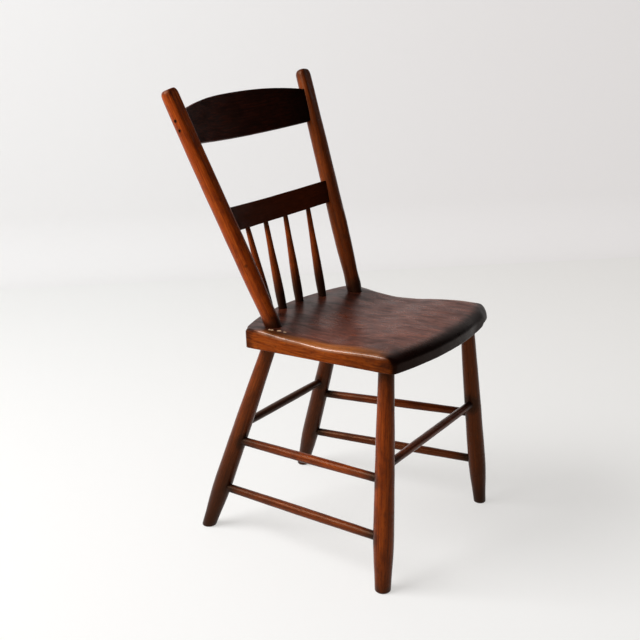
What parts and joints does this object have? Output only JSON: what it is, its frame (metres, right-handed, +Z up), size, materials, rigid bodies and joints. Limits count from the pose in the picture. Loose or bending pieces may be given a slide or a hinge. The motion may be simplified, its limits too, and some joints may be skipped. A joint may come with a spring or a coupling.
{
  "type": "spindle back chair",
  "caption": "Plank seat side chair with raked posts, bowed crest and mid rails, tapered spindles below, and splayed turned legs joined by plain stretchers.",
  "frame": {"origin": "middle of the overall box in plan, at floor level", "axes": "+X towards the chair's own left, -Y the way a sitter faces, +Z up"},
  "size_m": [0.4599, 0.4984, 0.8614],
  "materials": {
    "seat": "worn satin varnish over a red brown stain",
    "front_leg_right": "worn satin varnish",
    "front_leg_left": "worn satin varnish",
    "rear_leg_right": "worn satin varnish",
    "rear_leg_left": "worn satin varnish",
    "side_stretcher_right_upper": "worn satin varnish",
    "side_stretcher_right_lower": "worn satin varnish",
    "side_stretcher_left_upper": "worn satin varnish",
    "side_stretcher_left_lower": "worn satin varnish",
    "front_stretcher": "worn satin varnish",
    "rear_stretcher": "worn satin varnish",
    "back_post_right": "worn satin varnish",
    "back_post_left": "worn satin varnish",
    "crest_rail": "dark satin varnish",
    "mid_rail": "dark satin varnish",
    "spindle_1": "worn satin varnish",
    "spindle_2": "worn satin varnish",
    "spindle_3": "worn satin varnish",
    "spindle_4": "worn satin varnish",
    "nails": "dull oxidised iron"
  },
  "bodies": {
    "root": {"seat": "seat", "front_leg_right": "front_leg_right", "front_leg_left": "front_leg_left", "rear_leg_right": "rear_leg_right", "rear_leg_left": "rear_leg_left", "side_stretcher_right_upper": "side_stretcher_right_upper", "side_stretcher_right_lower": "side_stretcher_right_lower", "side_stretcher_left_upper": "side_stretcher_left_upper", "side_stretcher_left_lower": "side_stretcher_left_lower", "front_stretcher": "front_stretcher", "rear_stretcher": "rear_stretcher", "back_post_right": "back_post_right", "back_post_left": "back_post_left", "crest_rail": "crest_rail", "mid_rail": "mid_rail", "spindle_1": "spindle_1", "spindle_2": "spindle_2", "spindle_3": "spindle_3", "spindle_4": "spindle_4", "crest_nail_right_upper": "nails", "crest_nail_right_lower": "nails", "crest_nail_left_upper": "nails", "crest_nail_left_lower": "nails"}
  },
  "joints": []
}
